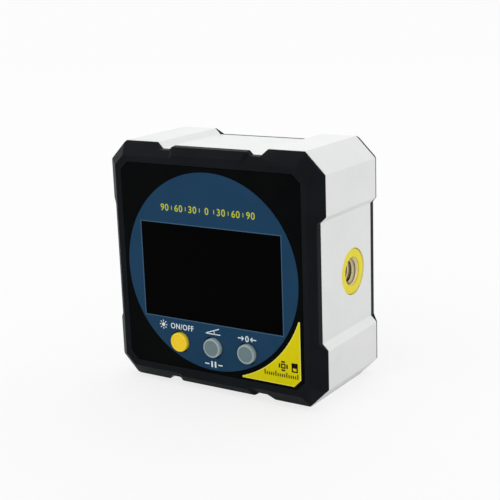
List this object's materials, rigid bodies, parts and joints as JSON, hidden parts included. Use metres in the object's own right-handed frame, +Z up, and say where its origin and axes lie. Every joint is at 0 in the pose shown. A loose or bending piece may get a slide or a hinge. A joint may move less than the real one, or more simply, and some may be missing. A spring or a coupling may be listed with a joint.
{
  "type": "inclinometer",
  "caption": "Square digital inclinometer box with an aluminium body, black bevelled covers, round dial film, push buttons, magnets behind its sides and a threaded side hole.",
  "frame": {"origin": "middle of the base, under the middle of the whole depth", "axes": "+Z up, +Y from the display towards the battery door, +X to the right seen from the front"},
  "size_m": [0.06, 0.0314, 0.06],
  "materials": {
    "bead_blasted_aluminium": "fine bead-blasted and clear anodised",
    "nickel_plated_magnet": "nickel plated",
    "black_abs": "satin moulded, fine spark texture",
    "black_abs_door": "satin moulded, fine spark texture",
    "gloss_black_acrylic": "polished",
    "blue_film": "printed satin film",
    "yellow_film": "printed satin film",
    "yellow_keycap": "satin moulded",
    "grey_keycap": "satin moulded",
    "white_nylon": "moulded",
    "black_nylon": "moulded",
    "display_glass": "polished",
    "light_guide_acrylic": "polished, frosted back",
    "white_abs": "moulded",
    "zebra_rubber": "layered silicone",
    "led_resin": "clear resin",
    "green_solder_mask": "solder mask",
    "epoxy_chip": "moulded epoxy",
    "tin_can": "drawn",
    "zinc_steel_screw": "zinc plated",
    "black_steel_screw": "black zinc",
    "cell_jacket": "plain printed sleeve",
    "nickel_contact": "nickel-plated spring strip",
    "yellow_abs": "moulded",
    "turned_brass": "turned"
  },
  "bodies": {
    "case": {"body_extrusion": "bead_blasted_aluminium", "side_magnets": "nickel_plated_magnet", "front_cover": "black_abs", "rear_cover": "black_abs", "display_panel": "gloss_black_acrylic", "dial_film": "blue_film", "corner_label": "yellow_film", "switch_housings": "black_nylon", "lcd_glass": "display_glass", "light_guide": "light_guide_acrylic", "lcd_frame": "white_abs", "zebra_strip": "zebra_rubber", "backlight_leds": "led_resin", "main_board": "green_solder_mask", "controller_chip": "epoxy_chip", "tilt_sensor": "epoxy_chip", "clock_crystal": "tin_can", "board_screws": "zinc_steel_screw", "case_screws": "black_steel_screw", "aaa_cells": "cell_jacket", "bridge_contact": "nickel_contact", "negative_contact": "nickel_contact", "positive_contact": "nickel_contact", "insert_bushing": "yellow_abs", "threaded_insert": "turned_brass"},
    "power_key": {"power_button": "yellow_keycap", "power_plunger": "white_nylon"},
    "hold_key": {"hold_button": "grey_keycap", "hold_plunger": "white_nylon"},
    "zero_key": {"zero_button": "grey_keycap", "zero_plunger": "white_nylon"},
    "door": {"battery_door": "black_abs_door"}
  },
  "joints": [
    {"name": "power_press", "type": "slide", "parent": "case", "child": "power_key", "axis": [0, 1, 0], "range_m": [0, 0.0004], "stiffness_N_per_m": 2000},
    {"name": "hold_press", "type": "slide", "parent": "case", "child": "hold_key", "axis": [0, 1, 0], "range_m": [0, 0.0004], "stiffness_N_per_m": 2000},
    {"name": "zero_press", "type": "slide", "parent": "case", "child": "zero_key", "axis": [0, 1, 0], "range_m": [0, 0.0004], "stiffness_N_per_m": 2000},
    {"name": "door_tilt", "type": "hinge", "parent": "case", "child": "door", "pos_m": [0, 0.0152, 0.00615], "axis": [-1, 0, 0], "range_deg": [0, 40]}
  ]
}
